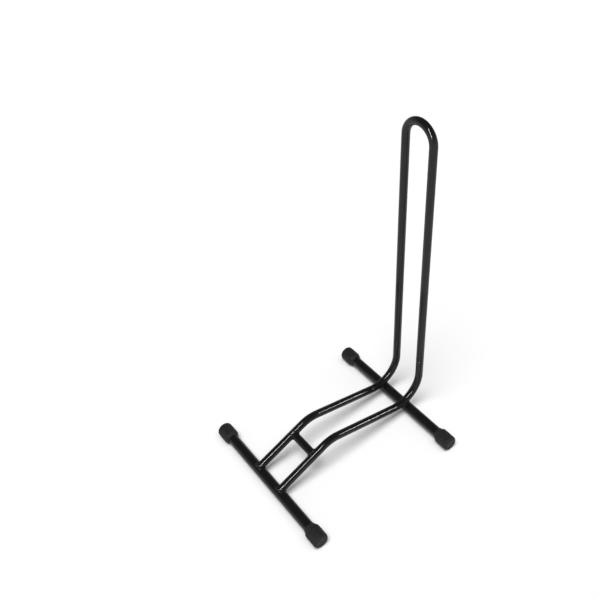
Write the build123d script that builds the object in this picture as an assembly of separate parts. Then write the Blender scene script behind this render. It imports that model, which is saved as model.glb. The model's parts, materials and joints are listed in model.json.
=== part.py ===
from build123d import *
import math
import os

# Floor stand that holds a bicycle by one wheel. Two bent rails, welded to two floor tubes,
# guide the tyre over a hump and carry it between the legs of a tall hoop, which plugs onto
# the upturned ends of the rails. Millimetres; X along the floor tubes, +Y from the wheel's
# entry towards the hoop, +Z up, origin on the floor under the middle of the whole stand.

# ------------------------------------------------------------------ driving dimensions
# Tubes
rail_radius = 9.0            # both rails, the hoop and the wheel rest bar
floor_tube_radius = 12.0
wall = 1.5                   # of every tube

# Overall width and the rubber caps on the floor tubes
stand_width = 388.0          # over the caps
cap_radius = 17.5
cap_length = 44.0
cap_mouth_radius = 13.6
cap_lip_length = 1.6
cap_flare_length = 10.0
cap_end_wall = 5.0
cap_end_round = 6.0
cap_sole_width = 12.0        # of the flat under each cap, on which the stand rests

# Rail line, in its own upright plane; Y from the front floor tube, Z from the floor
rail_spacing = 80.0          # between the two rails' axes
rail_start_z = 24.4
hump_y = 143.5
hump_z = 79.0
elbow_y = 404.3
elbow_z = 16.4
hump_bend_radius = 70.0
elbow_bend_radius = 68.0
leg_lean = 4.0               # degrees from upright, away from the wheel
saddle_depth = 0.6           # how far the rail's underside is coped over the rear floor tube

# Hoop
seam_height = 141.0          # where the hoop's legs meet the rails' upturned ends
arch_centre_height = 697.5
seam_chamfer = 0.5

# Spigots inside the seam
spigot_clearance = 0.05      # radial, to the hoop that slides over it
spigot_wall = 1.5
spigot_below_seam = 36.0
spigot_above_seam = 60.0
spigot_lead = 0.75           # chamfer on its upper end

# Wheel rest bar between the rails, on the ramp
rest_bar_y = 97.6

# Weld beads
bead = 2.2                   # throat of every weld
bead_stop = 2.0              # the rest bar's welds end this far short of the rails' crowns

# ------------------------------------------------------------------ worked out from them
half_width = stand_width / 2
rail_x = rail_spacing / 2
bore_radius = rail_radius - wall
floor_tube_length = stand_width - 2 * cap_end_wall
floor_tube_z = math.sqrt(cap_radius**2 - (cap_sole_width / 2) ** 2)
ramp_slope = (hump_z - rail_start_z) / hump_y
rest_bar_z = rail_start_z + ramp_slope * rest_bar_y
lean = math.radians(leg_lean)
lean_slope = math.tan(lean)

# The whole stand is centred front to back between its caps and the top of the hoop.
arch_centre_y = elbow_y + (arch_centre_height - elbow_z) * lean_slope
stand_back = arch_centre_y + rail_x * math.sin(lean) + rail_radius
front_y = (cap_radius - stand_back) / 2

# The rear floor tube lies under the elbow and bites into it by the saddle's depth.
fall = math.atan2(hump_z - elbow_z, elbow_y - hump_y)
elbow_tangent = elbow_bend_radius * math.tan((fall + math.pi / 2 - lean) / 2)
elbow_centre_y = elbow_y - elbow_tangent * math.cos(fall) + elbow_bend_radius * math.sin(fall)
elbow_centre_z = elbow_z + elbow_tangent * math.sin(fall) + elbow_bend_radius * math.cos(fall)
elbow_reach = elbow_bend_radius + rail_radius + floor_tube_radius - saddle_depth
rear_y = front_y + elbow_centre_y + math.sqrt(elbow_reach**2 - (elbow_centre_z - floor_tube_z) ** 2)


def place(x, y, z):
    """A point given by its distance behind the front floor tube and above the floor."""
    return Vector(x, front_y + y, z)


def leg_point(x, z):
    """The point of a leaning leg's axis at a height above the floor."""
    return place(x, elbow_y + (z - elbow_z) * lean_slope, z)


def rod(path, radius):
    """A solid round bar along a path."""
    return sweep(Plane(origin=path @ 0, z_dir=path % 0) * Circle(radius), path=path)


def tube(path, outer, inner):
    return rod(path, outer) - rod(path, inner)


def bar_along_x(y, z, radius, length):
    """A solid round bar parallel to X, centred on the middle plane."""
    return Plane(origin=(0, y, z), z_dir=(1, 0, 0)) * Cylinder(radius, length)


def end_rim(part, point):
    """The outer rim of the square-cut tube end that is centred on a point."""
    circles = part.edges().filter_by(GeomType.CIRCLE)
    outer = [edge for edge in circles if edge.radius > bore_radius + wall / 2]
    return min(outer, key=lambda edge: (edge.arc_center - point).length)


# ------------------------------------------------------------------ rails
def rail_path(x):
    points = (
        place(x, 0, rail_start_z),
        place(x, hump_y, hump_z),
        place(x, elbow_y, elbow_z),
        leg_point(x, seam_height),
    )
    return FilletPolyline(*points, radius=[hump_bend_radius, elbow_bend_radius])


def make_rail(x):
    """Bent tube, coped at the front end and over the rear floor tube."""
    rail = tube(rail_path(x), rail_radius, bore_radius)
    rail -= floor_bar(front_y, floor_tube_radius)
    rail -= floor_bar(rear_y, floor_tube_radius)
    return chamfer(end_rim(rail, leg_point(x, seam_height)), seam_chamfer)


# ------------------------------------------------------------------ floor tubes and caps
def floor_bar(y, radius):
    return bar_along_x(y, floor_tube_z, radius, floor_tube_length)


def make_floor_tube(y):
    return floor_bar(y, floor_tube_radius) - floor_bar(y, floor_tube_radius - wall)


def make_cap(side, y):
    """Push-on rubber cap: lip, flare, round body, rounded end and a flat sole."""
    mouth = half_width - cap_length
    inner_end = half_width - cap_end_wall
    outline = Polyline(
        (mouth, floor_tube_radius),
        (mouth, cap_mouth_radius),
        (mouth + cap_lip_length, cap_mouth_radius),
        (mouth + cap_flare_length, cap_radius),
        (half_width, cap_radius),
        (half_width, 0),
        (inner_end, 0),
        (inner_end, floor_tube_radius),
        close=True,
    )
    cap = revolve(make_face(outline), Axis.X)
    cap = fillet(cap.edges().filter_by(GeomType.CIRCLE).sort_by(Axis.X)[-1], cap_end_round)
    cap = Pos(0, y, floor_tube_z) * cap
    cap -= Pos(half_width, y, -cap_radius) * Box(2 * cap_length, 2 * cap_radius, 2 * cap_radius)
    return cap if side > 0 else mirror(cap, about=Plane.YZ)


# ------------------------------------------------------------------ wheel rest bar
def rest_bar(radius, length):
    return bar_along_x(front_y + rest_bar_y, rest_bar_z, radius, length)


def make_rest_bar():
    """Tube fish-mouthed onto the inner sides of both rails."""
    bar = rest_bar(rail_radius, rail_spacing) - rest_bar(bore_radius, rail_spacing)
    for x in (-rail_x, rail_x):
        bar -= rod(rail_path(x), rail_radius)
    return bar


# ------------------------------------------------------------------ hoop and its spigots
def make_hoop():
    """Inverted U: two leaning legs joined by a half-circle."""
    apex = leg_point(0, arch_centre_height) + Vector(0, math.sin(lean), math.cos(lean)) * rail_x
    left_foot = leg_point(-rail_x, seam_height)
    left_top = leg_point(-rail_x, arch_centre_height)
    right_top = leg_point(rail_x, arch_centre_height)
    right_foot = leg_point(rail_x, seam_height)
    path = Wire(
        [
            Line(left_foot, left_top),
            ThreePointArc(left_top, apex, right_top),
            Line(right_top, right_foot),
        ]
    )
    hoop = tube(path, rail_radius, bore_radius)
    feet = [end_rim(hoop, left_foot), end_rim(hoop, right_foot)]
    return chamfer(feet, seam_chamfer)


def make_spigot(x):
    """Sleeve driven into a rail's upturned end, turned down where the hoop slides over it."""
    up = Vector(0, math.sin(lean), math.cos(lean))
    seam = leg_point(x, seam_height)
    slide_radius = bore_radius - spigot_clearance
    bottom = Plane(origin=seam - up * spigot_below_seam, z_dir=up)
    middle = Plane(origin=seam, z_dir=up)
    driven = bottom * extrude(Circle(bore_radius), spigot_below_seam)
    sliding = middle * extrude(Circle(slide_radius), spigot_above_seam)
    top_edge = sliding.edges().filter_by(GeomType.CIRCLE).sort_by(Axis.Z)[-1]
    hollow = bottom * extrude(Circle(bore_radius - spigot_wall), spigot_below_seam + spigot_above_seam)
    return driven + chamfer(top_edge, spigot_lead) - hollow


# ------------------------------------------------------------------ weld beads
def make_front_weld(x):
    """Bead round a rail's coped end, closing the part of its mouth above the floor tube."""
    ramp = Vector(0, math.cos(math.atan(ramp_slope)), math.sin(math.atan(ramp_slope)))
    end = place(x, 0, rail_start_z)
    past_floor_tube = 2 * (floor_tube_radius + bead)
    swollen_rail = rod(Line(end - ramp * bead, end + ramp * past_floor_tube), rail_radius + bead)
    weld = swollen_rail & floor_bar(front_y, floor_tube_radius + bead)
    return weld - rod(rail_path(x), rail_radius) - floor_bar(front_y, floor_tube_radius)


def make_rear_weld(x):
    """Bead in the gap between the elbow's underside and the rear floor tube."""
    weld = rod(rail_path(x), rail_radius + bead) & floor_bar(rear_y, floor_tube_radius + bead)
    return weld - rod(rail_path(x), rail_radius) - floor_bar(rear_y, floor_tube_radius)


def make_rest_bar_weld(x):
    """Bead round one end of the wheel rest bar."""
    swollen_bar = rest_bar(rail_radius + bead, rail_spacing - 2 * bead_stop)
    weld = rod(rail_path(x), rail_radius + bead) & swollen_bar
    return weld - rod(rail_path(x), rail_radius) - rest_bar(rail_radius, rail_spacing)


# ------------------------------------------------------------------ the stand
nodes = {
    "front_floor_tube": make_floor_tube(front_y),
    "rear_floor_tube": make_floor_tube(rear_y),
    "wheel_rest_bar": make_rest_bar(),
    "hoop": make_hoop(),
}
for name, side in (("left", -1), ("right", 1)):
    nodes[f"{name}_rail"] = make_rail(side * rail_x)
    nodes[f"{name}_spigot"] = make_spigot(side * rail_x)
    nodes[f"front_{name}_cap"] = make_cap(side, front_y)
    nodes[f"rear_{name}_cap"] = make_cap(side, rear_y)
    nodes[f"front_{name}_weld"] = make_front_weld(side * rail_x)
    nodes[f"rear_{name}_weld"] = make_rear_weld(side * rail_x)
    nodes[f"rest_bar_{name}_weld"] = make_rest_bar_weld(side * rail_x)

os.makedirs("parts", exist_ok=True)
for name, shape in nodes.items():
    export_step(shape, f"parts/{name}.step")
    box = shape.bounding_box()
    print(f"{name}: {len(shape.solids())} solid, {shape.volume:.1f} mm3, {box.min} to {box.max}")
print(f"front tube y {front_y:.2f}, rear tube y {rear_y:.2f}, axis height {floor_tube_z:.2f}")
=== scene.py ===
import json
import math
import random

import bmesh
import bpy
from mathutils import Matrix, Vector

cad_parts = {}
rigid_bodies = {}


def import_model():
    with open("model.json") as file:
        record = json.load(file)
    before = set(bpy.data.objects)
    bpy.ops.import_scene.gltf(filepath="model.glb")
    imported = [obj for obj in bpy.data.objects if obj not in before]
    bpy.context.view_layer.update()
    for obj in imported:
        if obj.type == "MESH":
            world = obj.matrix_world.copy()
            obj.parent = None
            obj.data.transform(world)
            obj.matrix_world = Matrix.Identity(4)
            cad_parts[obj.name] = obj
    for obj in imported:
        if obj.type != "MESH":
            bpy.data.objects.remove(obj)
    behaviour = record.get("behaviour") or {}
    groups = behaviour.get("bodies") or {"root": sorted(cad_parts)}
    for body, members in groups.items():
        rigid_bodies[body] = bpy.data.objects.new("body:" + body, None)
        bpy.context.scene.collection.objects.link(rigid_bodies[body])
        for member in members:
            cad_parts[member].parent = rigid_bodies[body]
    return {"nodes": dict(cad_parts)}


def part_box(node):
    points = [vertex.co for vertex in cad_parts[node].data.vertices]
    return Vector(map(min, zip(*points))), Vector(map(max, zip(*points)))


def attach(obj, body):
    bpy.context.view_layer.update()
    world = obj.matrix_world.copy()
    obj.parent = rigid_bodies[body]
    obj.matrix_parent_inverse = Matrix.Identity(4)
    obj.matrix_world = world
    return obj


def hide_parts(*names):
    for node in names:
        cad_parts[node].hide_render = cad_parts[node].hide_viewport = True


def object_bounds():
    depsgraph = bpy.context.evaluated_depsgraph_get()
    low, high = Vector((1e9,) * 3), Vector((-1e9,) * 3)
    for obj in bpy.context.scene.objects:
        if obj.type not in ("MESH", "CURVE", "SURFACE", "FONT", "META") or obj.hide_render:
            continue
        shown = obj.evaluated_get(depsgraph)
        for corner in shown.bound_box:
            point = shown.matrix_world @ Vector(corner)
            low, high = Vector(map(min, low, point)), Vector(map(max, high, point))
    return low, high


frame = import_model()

# Looks for the bicycle floor stand: black powder-coated tubes, rippled weld beads under the
# same coat, ribbed rubber caps and plated spigots. Metres, in the frame's own axes.

MM = 0.001
cad_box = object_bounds()
nodes = frame["nodes"]

SIDES = {"left": -1, "right": 1}
ENDS = ("front", "rear")
COATED_TUBES = ("front_floor_tube", "rear_floor_tube", "left_rail", "right_rail", "wheel_rest_bar", "hoop")

# ------------------------------------------------------------------ sizes read from the frame
tube_low, tube_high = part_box("front_floor_tube")
tube_radius = (tube_high.z - tube_low.z) / 2
tube_height = (tube_high.z + tube_low.z) / 2
cap_low, cap_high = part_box("front_right_cap")
cap_radius = (cap_high.y - cap_low.y) / 2
cap_mouth = cap_low.x
cap_end = cap_high.x

middle = (cad_box[0] + cad_box[1]) / 2


def direction(azimuth, elevation):
    """Unit vector from the stand, in degrees: round from the front towards +X, and up from the floor."""
    turn = math.radians(azimuth)
    rise = math.radians(elevation)
    return Vector((math.sin(turn) * math.cos(rise), -math.cos(turn) * math.cos(rise), math.sin(rise)))


# ------------------------------------------------------------------ camera
CAMERA_AZIMUTH = 56.07       # degrees round from the front, as seen from the middle of the stand
CAMERA_ELEVATION = 43.42
CAMERA_DISTANCE = 1.596
CAMERA_HEADING = 52.35       # the way it looks, turned left from +Y
CAMERA_PITCH = 37.98         # below the horizon
CAMERA_ROLL = -3.18
CAMERA_LENS = 46.2           # mm
CAMERA_SENSOR = 36           # mm
CAMERA_SHIFT = (-0.1175, -0.0992)


def make_camera():
    data = bpy.data.cameras.new("camera")
    data.lens = CAMERA_LENS
    data.sensor_width = CAMERA_SENSOR
    data.shift_x, data.shift_y = CAMERA_SHIFT
    data.dof.use_dof = False
    camera = bpy.data.objects.new("camera", data)
    bpy.context.scene.collection.objects.link(camera)
    place = middle + direction(CAMERA_AZIMUTH, CAMERA_ELEVATION) * CAMERA_DISTANCE
    turn = Matrix.Rotation(math.radians(CAMERA_HEADING), 4, "Z")
    tilt = Matrix.Rotation(math.radians(90 - CAMERA_PITCH), 4, "X")
    roll = Matrix.Rotation(math.radians(CAMERA_ROLL), 4, "Z")
    camera.matrix_world = Matrix.Translation(place) @ turn @ tilt @ roll
    bpy.context.scene.camera = camera


# ------------------------------------------------------------------ node helpers
def new_material(name):
    """An empty node material with its Principled shader."""
    material = bpy.data.materials.new(name)
    material.use_nodes = True
    tree = material.node_tree
    shader = next(node for node in tree.nodes if node.type == "BSDF_PRINCIPLED")
    return material, tree, shader


def add_noise(tree, coords, scale, detail, roughness=0.5):
    """Noise with a number of cells to the metre."""
    node = tree.nodes.new("ShaderNodeTexNoise")
    node.inputs["Scale"].default_value = scale
    node.inputs["Detail"].default_value = detail
    node.inputs["Roughness"].default_value = roughness
    tree.links.new(coords, node.inputs["Vector"])
    return node.outputs["Fac"]


def add_coords(tree, stretch=(1, 1, 1)):
    """Object coordinates in metres, scaled along each axis."""
    coords = tree.nodes.new("ShaderNodeTexCoord")
    mapping = tree.nodes.new("ShaderNodeMapping")
    mapping.inputs["Scale"].default_value = stretch
    tree.links.new(coords.outputs["Object"], mapping.inputs["Vector"])
    return mapping.outputs["Vector"]


def add_range(tree, value, source, target):
    """A value moved from one range onto another, and held inside it."""
    node = tree.nodes.new("ShaderNodeMapRange")
    node.inputs["From Min"].default_value, node.inputs["From Max"].default_value = source
    node.inputs["To Min"].default_value, node.inputs["To Max"].default_value = target
    tree.links.new(value, node.inputs["Value"])
    return node.outputs["Result"]


def add_mix(tree, factor, first, second):
    """A blend of two colours by a factor; each colour is a tuple or a socket."""
    node = tree.nodes.new("ShaderNodeMix")
    node.data_type = "RGBA"
    tree.links.new(factor, node.inputs["Factor"])
    for socket, colour in ((node.inputs["A"], first), (node.inputs["B"], second)):
        if isinstance(colour, tuple):
            socket.default_value = (*colour, 1)
        else:
            tree.links.new(colour, socket)
    return node.outputs["Result"]


def add_bump(tree, height, distance, normal=None):
    """A bump as deep as a distance in metres, on top of another bump's normal if one is given."""
    node = tree.nodes.new("ShaderNodeBump")
    node.inputs["Distance"].default_value = distance
    tree.links.new(height, node.inputs["Height"])
    if normal is not None:
        tree.links.new(normal, node.inputs["Normal"])
    return node.outputs["Normal"]


# ------------------------------------------------------------------ materials
# Every scale is in noise cells to the metre.
UNIT = (0.0, 1.0)
NOISE_BULK = (0.3, 0.7)      # the range that most of a noise's values fall in

# Powder coat
COAT_BLACK = (0.003, 0.003, 0.0033)
COAT_DUSTY = (0.006, 0.006, 0.0063)
COAT_ROUGHNESS = (0.32, 0.42)
COAT_GLOSS = 0.65
COAT_GLOSS_ROUGHNESS = 0.14
DUST_SCALE = 35
DUST_SPREAD = (0.42, 0.72)
PEEL_SCALE = 520
TUBE_PEEL_DEPTH = 0.015 * MM
WELD_PEEL_DEPTH = 0.05 * MM
COAT_GRAIN_SCALE = 4200
COAT_GRAIN_DEPTH = 0.002 * MM

# Rubber
RUBBER_DARK = (0.0065, 0.0065, 0.0068)
RUBBER_LIGHT = (0.016, 0.016, 0.0167)
RUBBER_ROUGHNESS = (0.55, 0.78)
RUBBER_GLOSS = 0.25
RUBBED_SCALE = 160
RUBBED_SPREAD = (0.4, 0.75)
RUBBER_GRAIN_SCALE = 2200
RUBBER_GRAIN_DEPTH = 0.16 * MM

# Zinc plate
ZINC_DARK = (0.42, 0.43, 0.45)
ZINC_LIGHT = (0.62, 0.63, 0.65)
ZINC_ROUGHNESS = (0.24, 0.42)
DRAWN_SCALE = 3000
DRAWN_STRETCH = (1, 1, 0.02)
DRAWN_DEPTH = 0.01 * MM
SPANGLE_SCALE = 400
SPANGLE_SPREAD = (0.35, 0.65)

# Paper floor
PAPER_DARK = (0.86, 0.86, 0.87)
PAPER_LIGHT = (0.89, 0.89, 0.90)
PAPER_ROUGHNESS = 0.9
PAPER_GLOSS = 0.1
PAPER_SCALE = 900


def powder_coat(name, peel_depth):
    """Semi-gloss black powder coat: orange peel, fine grain, and dust in random patches."""
    material, tree, shader = new_material(name)
    coords = add_coords(tree)
    patches = add_noise(tree, coords, DUST_SCALE, detail=5)
    grain = add_noise(tree, coords, COAT_GRAIN_SCALE, detail=2)
    peel = add_noise(tree, coords, PEEL_SCALE, detail=2)
    dust = add_range(tree, patches, DUST_SPREAD, UNIT)
    tree.links.new(add_mix(tree, dust, COAT_BLACK, COAT_DUSTY), shader.inputs["Base Color"])
    tree.links.new(add_range(tree, patches, NOISE_BULK, COAT_ROUGHNESS), shader.inputs["Roughness"])
    fine = add_bump(tree, grain, COAT_GRAIN_DEPTH)
    tree.links.new(add_bump(tree, peel, peel_depth, normal=fine), shader.inputs["Normal"])
    shader.inputs["Specular IOR Level"].default_value = 0.0
    shader.inputs["Coat Weight"].default_value = COAT_GLOSS
    shader.inputs["Coat Roughness"].default_value = COAT_GLOSS_ROUGHNESS
    return material


def rubber():
    """Matt moulded rubber with a fine grain and paler rubbed patches."""
    material, tree, shader = new_material("moulded_rubber")
    coords = add_coords(tree)
    rubbed = add_noise(tree, coords, RUBBED_SCALE, detail=6, roughness=0.6)
    grain = add_noise(tree, coords, RUBBER_GRAIN_SCALE, detail=4, roughness=0.65)
    pale = add_range(tree, rubbed, RUBBED_SPREAD, UNIT)
    tree.links.new(add_mix(tree, pale, RUBBER_DARK, RUBBER_LIGHT), shader.inputs["Base Color"])
    tree.links.new(add_range(tree, grain, NOISE_BULK, RUBBER_ROUGHNESS), shader.inputs["Roughness"])
    tree.links.new(add_bump(tree, grain, RUBBER_GRAIN_DEPTH), shader.inputs["Normal"])
    shader.inputs["Specular IOR Level"].default_value = RUBBER_GLOSS
    return material


def zinc_plate():
    """Plated drawn tube: bright, with fine lines along its length and a faint spangle."""
    material, tree, shader = new_material("zinc_plated_steel")
    lines = add_noise(tree, add_coords(tree, DRAWN_STRETCH), DRAWN_SCALE, detail=2)
    spangle = add_noise(tree, add_coords(tree), SPANGLE_SCALE, detail=4)
    shade = add_range(tree, spangle, SPANGLE_SPREAD, UNIT)
    tree.links.new(add_mix(tree, shade, ZINC_DARK, ZINC_LIGHT), shader.inputs["Base Color"])
    tree.links.new(add_range(tree, lines, NOISE_BULK, ZINC_ROUGHNESS), shader.inputs["Roughness"])
    tree.links.new(add_bump(tree, lines, DRAWN_DEPTH), shader.inputs["Normal"])
    shader.inputs["Metallic"].default_value = 1.0
    return material


def studio_floor():
    """Pale seamless paper."""
    material, tree, shader = new_material("paper_floor")
    fibres = add_noise(tree, add_coords(tree), PAPER_SCALE, detail=2)
    tree.links.new(add_mix(tree, fibres, PAPER_DARK, PAPER_LIGHT), shader.inputs["Base Color"])
    shader.inputs["Roughness"].default_value = PAPER_ROUGHNESS
    shader.inputs["Specular IOR Level"].default_value = PAPER_GLOSS
    return material


# ------------------------------------------------------------------ mesh helpers
def new_piece(name, shape, material):
    """A smooth-shaded mesh object from a bmesh, which is used up."""
    mesh = bpy.data.meshes.new(name)
    shape.normal_update()
    shape.to_mesh(mesh)
    shape.free()
    for polygon in mesh.polygons:
        polygon.use_smooth = True
    mesh.materials.append(material)
    piece = bpy.data.objects.new(name, mesh)
    bpy.context.scene.collection.objects.link(piece)
    return piece


def arc_points(centre, radius, start, end, steps):
    """Points of an arc in the plane (along, out), angles in degrees."""
    angles = [math.radians(start + (end - start) * step / steps) for step in range(steps + 1)]
    return [(centre[0] + radius * math.cos(a), centre[1] + radius * math.sin(a)) for a in angles]


def smooth_step(low, high, value):
    """From 0 at the low value to 1 at the high one, with no corner at either."""
    t = min(1.0, max(0.0, (value - low) / (high - low)))
    return t * t * (3 - 2 * t)


# ------------------------------------------------------------------ rubber caps
CAP_LIP = 1.6 * MM
CAP_LIP_STEPS = 8
CAP_NECK = 0.6 * MM          # the groove between the lip and the flare, its length and its depth
CAP_NECK_DEPTH = 0.3 * MM
CAP_FLARE = 10 * MM          # from the mouth to the flare's end
CAP_FLARE_CURVE = 0.12
CAP_END_ROUND = 6 * MM
CAP_WALL = 5 * MM
CAP_SQUEEZE = 0.05 * MM      # of the bore onto the tube
CAP_BORE_STEPS = 8
CAP_STEPS = 10               # along the flare, the body and the end's rounding alike

# The end's face, as shares of its radius: a rim, a dimple inside it and a button in its middle
CAP_RIM = (0.86, 0.8)
CAP_DIMPLE = (0.76, 0.3)
CAP_DIMPLE_DEPTH = 0.35 * MM
CAP_BUTTON = (0.24, 0.12)

# The ribs; their grooves fade in along the flare and out at the end, given as shares of each
CAP_RIBS = 16
CAP_RIB_DEPTH = 0.55 * MM
CAP_STEPS_PER_RIB = 12
CAP_GROOVE_EDGE = 0.55
CAP_GROOVE_FADE_IN = (0.3, 0.9)
CAP_GROOVE_FADE_OUT = (0.88, 0.97)


def bore_points(length):
    """The cap's bore, from its bottom to just short of the mouth."""
    bottom = length - CAP_WALL
    steps = [bottom - step * bottom / CAP_BORE_STEPS for step in range(CAP_BORE_STEPS)]
    return [(along, tube_radius - CAP_SQUEEZE) for along in steps]


def flare_points(lip):
    """The cap's flare, from the neck behind the lip out to the body."""
    start = CAP_LIP + CAP_NECK
    neck = lip - CAP_NECK_DEPTH
    points = []
    for step in range(CAP_STEPS + 1):
        share = step / CAP_STEPS
        ease = share - CAP_FLARE_CURVE * math.sin(2 * math.pi * share)
        points.append((start + share * (CAP_FLARE - start), neck + ease * (cap_radius - neck)))
    return points


def cap_profile():
    """The cap's section as (distance from the mouth, radius), from the bore's bottom to the end."""
    length = cap_end - cap_mouth
    lip = tube_radius + CAP_LIP
    lip_round = CAP_LIP / 2
    body_end = length - CAP_END_ROUND
    body_step = (body_end - CAP_FLARE) / CAP_STEPS
    face = cap_radius - CAP_END_ROUND
    points = bore_points(length)
    points += arc_points((lip_round, lip - lip_round), lip_round, 270, 90, CAP_LIP_STEPS)
    points += flare_points(lip)
    points += [(CAP_FLARE + step * body_step, cap_radius) for step in range(1, CAP_STEPS)]
    points += arc_points((body_end, face), CAP_END_ROUND, 90, 0, CAP_STEPS)
    points += [(length, face * share) for share in CAP_RIM]
    points += [(length - CAP_DIMPLE_DEPTH, face * share) for share in CAP_DIMPLE]
    points += [(length, face * share) for share in CAP_BUTTON]
    return points


def groove_fade(along, radius, length):
    """How deep the grooves are at a point of the profile, from 0 to 1; the bore has none."""
    if radius <= tube_radius + CAP_LIP / 2:
        return 0.0
    fade_in = smooth_step(*CAP_GROOVE_FADE_IN, along / CAP_FLARE)
    return fade_in * (1 - smooth_step(*CAP_GROOVE_FADE_OUT, along / length))


def make_cap(name, side, y, material):
    """Ribbed cap: grooves between the ribs run the body's length and fade into the flare and the end."""
    length = cap_end - cap_mouth
    segments = CAP_RIBS * CAP_STEPS_PER_RIB
    mesh = bmesh.new()
    rings = []
    for along, radius in cap_profile():
        depth = CAP_RIB_DEPTH * groove_fade(along, radius, length)
        ring = []
        for segment in range(segments):
            angle = 2 * math.pi * segment / segments
            wave = 0.5 - 0.5 * math.cos(CAP_RIBS * angle)
            here = radius - depth * smooth_step(0.0, CAP_GROOVE_EDGE, wave)
            z = max(tube_height + here * math.cos(angle), 0.0)
            ring.append(mesh.verts.new((side * (cap_mouth + along), y + here * math.sin(angle), z)))
        rings.append(ring)
    for first, second in zip(rings, rings[1:]):
        for i in range(segments):
            j = (i + 1) % segments
            mesh.faces.new((first[i], first[j], second[j], second[i]))
    mesh.faces.new(rings[0])
    mesh.faces.new(rings[-1])
    bmesh.ops.recalc_face_normals(mesh, faces=mesh.faces)
    return new_piece(name, mesh, material)


# ------------------------------------------------------------------ weld beads
# Each bead is a row of overlapping lens-shaped puddles laid along the joint, melted into the
# plain bead that the frame gives.
PUDDLE_RADIUS = 2.5 * MM
PUDDLE_THICKNESS = 1.2 * MM
PUDDLE_SPACING = 1.5 * MM
PUDDLE_UNEVENNESS = 0.09
PUDDLE_LEAN = 25             # degrees, each puddle leans back on the one before
WELD_VOXEL = 0.28 * MM
ROUNDING_PASSES = 40
SETTLING_PASSES = 3
PUDDLE_SINK = 0.8            # how far a rear ring of puddles keeps inside the bead, in puddle radii
HALF_TURN = 180              # a joint's line has a point for each degree
RAIL_START_HEIGHT = 24.4 * MM
REST_BAR_GAP = 14            # degrees of the rest bar left bare on each side of the rails' crowns

rest_low, rest_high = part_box("wheel_rest_bar")
rest_y = (rest_low.y + rest_high.y) / 2
rest_z = (rest_low.z + rest_high.z) / 2
rail_radius = (rest_high.z - rest_low.z) / 2
front_y = (tube_low.y + tube_high.y) / 2
ramp = Vector((0, rest_y - front_y, rest_z - RAIL_START_HEIGHT)).normalized()
ramp_up = Vector((0, -ramp.z, ramp.y))


def front_joint(x):
    """Round a rail's end: down its sides on the floor tube, and across its mouth above the tube."""
    points = []
    for step in range(2 * HALF_TURN + 1):
        angle = math.radians(step)
        rim = Vector((x, front_y, RAIL_START_HEIGHT))
        rim += Vector((rail_radius * math.cos(angle), 0, 0)) + ramp_up * rail_radius * math.sin(angle)
        from_tube = Vector((0, rim.y - front_y, rim.z - tube_height))
        along = from_tube.dot(ramp)
        reach = along * along - from_tube.length_squared + tube_radius * tube_radius
        slide = -along + math.sqrt(reach) if reach > 0 else 0.0
        points.append(rim + ramp * max(slide, 0.0))
    return points


def rest_bar_joints(x, side):
    """Two runs round the rest bar's end, above and below, each from crown to crown of the rail."""
    runs = []
    for first in (REST_BAR_GAP - 90, REST_BAR_GAP + 90):
        run = []
        for step in range(HALF_TURN + 1 - 2 * REST_BAR_GAP):
            angle = math.radians(first + step)
            inward = side * rail_radius * abs(math.cos(angle))
            centre = Vector((x - inward, rest_y, rest_z))
            run.append(centre + (ramp * math.cos(angle) + ramp_up * math.sin(angle)) * rail_radius)
        runs.append(run)
    return runs


def rear_joint(node_name):
    """A ring in the gap between the elbow and the rear floor tube."""
    low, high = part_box(node_name)
    centre = (low + high) / 2
    rear_low, rear_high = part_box("rear_floor_tube")
    up = Vector((0, centre.y - (rear_low.y + rear_high.y) / 2, centre.z - tube_height)).normalized()
    along = Vector((0, up.z, -up.y))
    half_across = (high.x - low.x) / 2 - PUDDLE_RADIUS * PUDDLE_SINK
    half_along = half_across * tube_radius / rail_radius
    points = []
    for step in range(2 * HALF_TURN + 1):
        angle = math.radians(step)
        across = Vector((half_across * math.cos(angle), 0, 0))
        points.append(centre + across + along * half_along * math.sin(angle))
    return points


def evenly_spaced(points, spacing):
    """Pairs of place and direction along a fine line of points, one spacing apart."""
    placed = []
    left = 0.0
    for first, second in zip(points, points[1:]):
        left -= (second - first).length
        if left <= 0 and second != first:
            placed.append((second, (second - first).normalized()))
            left += spacing
    return placed


def melt(piece, passes):
    """Skin a piece in fine voxels and let its edges settle."""
    remesh = piece.modifiers.new("skin", "REMESH")
    remesh.mode = "VOXEL"
    remesh.voxel_size = WELD_VOXEL
    smooth = piece.modifiers.new("settle", "SMOOTH")
    smooth.factor = 0.5
    smooth.iterations = passes
    skin = bpy.data.meshes.new_from_object(piece.evaluated_get(bpy.context.evaluated_depsgraph_get()))
    piece.modifiers.clear()
    piece.data = skin
    for polygon in skin.polygons:
        polygon.use_smooth = True


def make_weld(node_name, runs, material):
    """The plain bead with its edges rounded off, and the puddles of every run melted into it."""
    plain = bmesh.new()
    plain.from_mesh(nodes[node_name].data)
    bead = new_piece(node_name + "_bead", plain, material)
    melt(bead, ROUNDING_PASSES)
    dice = random.Random(node_name)
    mesh = bmesh.new()
    mesh.from_mesh(bead.data)
    for run in runs:
        for place, ahead in evenly_spaced(run, PUDDLE_SPACING):
            size = PUDDLE_RADIUS * (1 + dice.uniform(-PUDDLE_UNEVENNESS, PUDDLE_UNEVENNESS))
            lean = Matrix.Rotation(math.radians(PUDDLE_LEAN), 4, ahead.orthogonal())
            turn = lean @ ahead.to_track_quat("Z", "Y").to_matrix().to_4x4()
            lens = Matrix.Translation(place) @ turn @ Matrix.Diagonal((size, size, PUDDLE_THICKNESS, 1))
            bmesh.ops.create_icosphere(mesh, subdivisions=3, radius=1, matrix=lens)
    mesh.to_mesh(bead.data)
    mesh.free()
    melt(bead, SETTLING_PASSES)
    return bead


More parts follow.
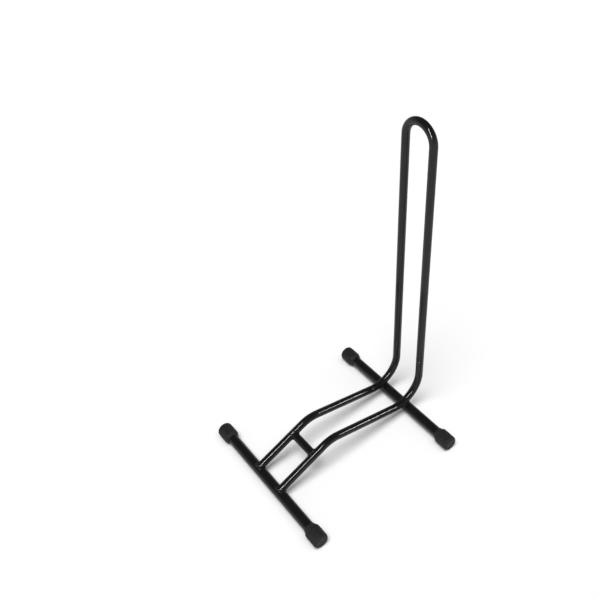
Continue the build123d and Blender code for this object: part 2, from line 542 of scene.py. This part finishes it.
# ------------------------------------------------------------------ stage
WALL = (0.8, 0.8, 0.8)
CEILING = (0.2, 0.2, 0.2)
WALL_TO_CEILING = (0.0, 0.5)  # sines of the elevations at which the walls begin to darken and stop
FLOOR_REACH = 20
LAMP_DISTANCE = 2.4
UPRIGHT = Vector((0, 0, 1))
LENGTHWISE = Vector((0, 1, 0))

# What each lamp may light
ground = bpy.data.collections.new("ground")
stand = bpy.data.collections.new("stand")
below_hoop = bpy.data.collections.new("below_hoop")


def make_floor(material):
    mesh = bmesh.new()
    corners = ((-1, -1), (1, -1), (1, 1), (-1, 1))
    mesh.faces.new([mesh.verts.new((x * FLOOR_REACH, y * FLOOR_REACH, 0)) for x, y in corners])
    floor = new_piece("floor", mesh, material)
    ground.objects.link(floor)


def hang(lamp, azimuth, elevation, lie):
    """Hang a lamp in a direction from the stand's middle, facing it, its length near to a given line."""
    back = direction(azimuth, elevation)
    side = lie.cross(back).normalized()
    facing = Matrix((side, back.cross(side), back)).transposed().to_4x4()
    lamp.matrix_world = Matrix.Translation(middle + back * LAMP_DISTANCE) @ facing
    lamp.visible_camera = False
    bpy.context.scene.collection.objects.link(lamp)
    return lamp


def make_strip(name, azimuth, elevation, size, radiance, lie, lit):
    """A rectangular softbox of a width and a length, flagged off all but the pieces in a collection."""
    data = bpy.data.lights.new(name, "AREA")
    data.shape = "RECTANGLE"
    data.size, data.size_y = size
    data.energy = radiance * math.pi * size[0] * size[1]
    lamp = hang(bpy.data.objects.new(name, data), azimuth, elevation, lie)
    lamp.light_linking.receiver_collection = lit


def make_broad_light(name, azimuth, elevation, spread, strength):
    """A lamp so far away that it lights the whole floor alike; its spread in degrees softens shadows.

    It is flagged off the stand, whose gloss comes from the strips, the walls and the floor.
    """
    data = bpy.data.lights.new(name, "SUN")
    data.angle = math.radians(spread)
    data.energy = strength
    lamp = hang(bpy.data.objects.new(name, data), azimuth, elevation, UPRIGHT)
    lamp.light_linking.receiver_collection = ground


def make_world():
    """Pale studio walls that darken towards the ceiling."""
    world = bpy.data.worlds.new("studio")
    bpy.context.scene.world = world
    world.use_nodes = True
    tree = world.node_tree
    background = next(node for node in tree.nodes if node.type == "BACKGROUND")
    coords = tree.nodes.new("ShaderNodeTexCoord")
    height = tree.nodes.new("ShaderNodeSeparateXYZ")
    tree.links.new(coords.outputs["Generated"], height.inputs["Vector"])
    shade = add_range(tree, height.outputs["Z"], WALL_TO_CEILING, UNIT)
    tree.links.new(add_mix(tree, shade, WALL, CEILING), background.inputs["Color"])
    background.inputs["Strength"].default_value = 1.0


# ------------------------------------------------------------------ the stand
def dress(node_name, material):
    """Give a node that keeps its own mesh its material."""
    nodes[node_name].data.materials.clear()
    nodes[node_name].data.materials.append(material)


def make_caps(material):
    for end_name in ENDS:
        for side_name, side in SIDES.items():
            node_name = f"{end_name}_{side_name}_cap"
            low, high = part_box(node_name)
            cap = make_cap(f"{node_name}_rubber", side, (low.y + high.y) / 2, material)
            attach(cap, "base")
            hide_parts(node_name)


def make_welds(material):
    for side_name, side in SIDES.items():
        low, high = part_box(f"{side_name}_rail")
        rail_x = (low.x + high.x) / 2
        joints = {
            f"front_{side_name}_weld": [front_joint(rail_x)],
            f"rear_{side_name}_weld": [rear_joint(f"rear_{side_name}_weld")],
            f"rest_bar_{side_name}_weld": rest_bar_joints(rail_x, side),
        }
        for node_name, runs in joints.items():
            bead = make_weld(node_name, runs, material)
            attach(bead, "base")
            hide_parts(node_name)


def sort_by_light():
    """Put every mesh of the stand in the collections that the strips may light."""
    for thing in bpy.context.scene.objects:
        if thing.type == "MESH" and thing.name != "floor":
            stand.objects.link(thing)
            if thing != nodes["hoop"]:
                below_hoop.objects.link(thing)


make_camera()
make_world()
make_floor(studio_floor())
make_broad_light("overhead_light", azimuth=30, elevation=74, spread=34, strength=2.6)
make_broad_light("back_light", azimuth=127, elevation=60, spread=34, strength=0.5)

tube_coat = powder_coat("black_powder_coat", TUBE_PEEL_DEPTH)
weld_coat = powder_coat("coated_weld", WELD_PEEL_DEPTH)
cap_rubber = rubber()
plated = zinc_plate()

for name in COATED_TUBES:
    dress(name, tube_coat)
for name in SIDES:
    dress(f"{name}_spigot", plated)
make_caps(cap_rubber)
make_welds(weld_coat)

sort_by_light()
make_strip("front_strip", azimuth=39, elevation=45, size=(0.12, 1.8), radiance=100,
           lie=UPRIGHT, lit=stand)
make_strip("back_strip", azimuth=143, elevation=24, size=(0.18, 0.4), radiance=82,
           lie=LENGTHWISE, lit=below_hoop)

bpy.context.scene.view_settings.view_transform = "Standard"
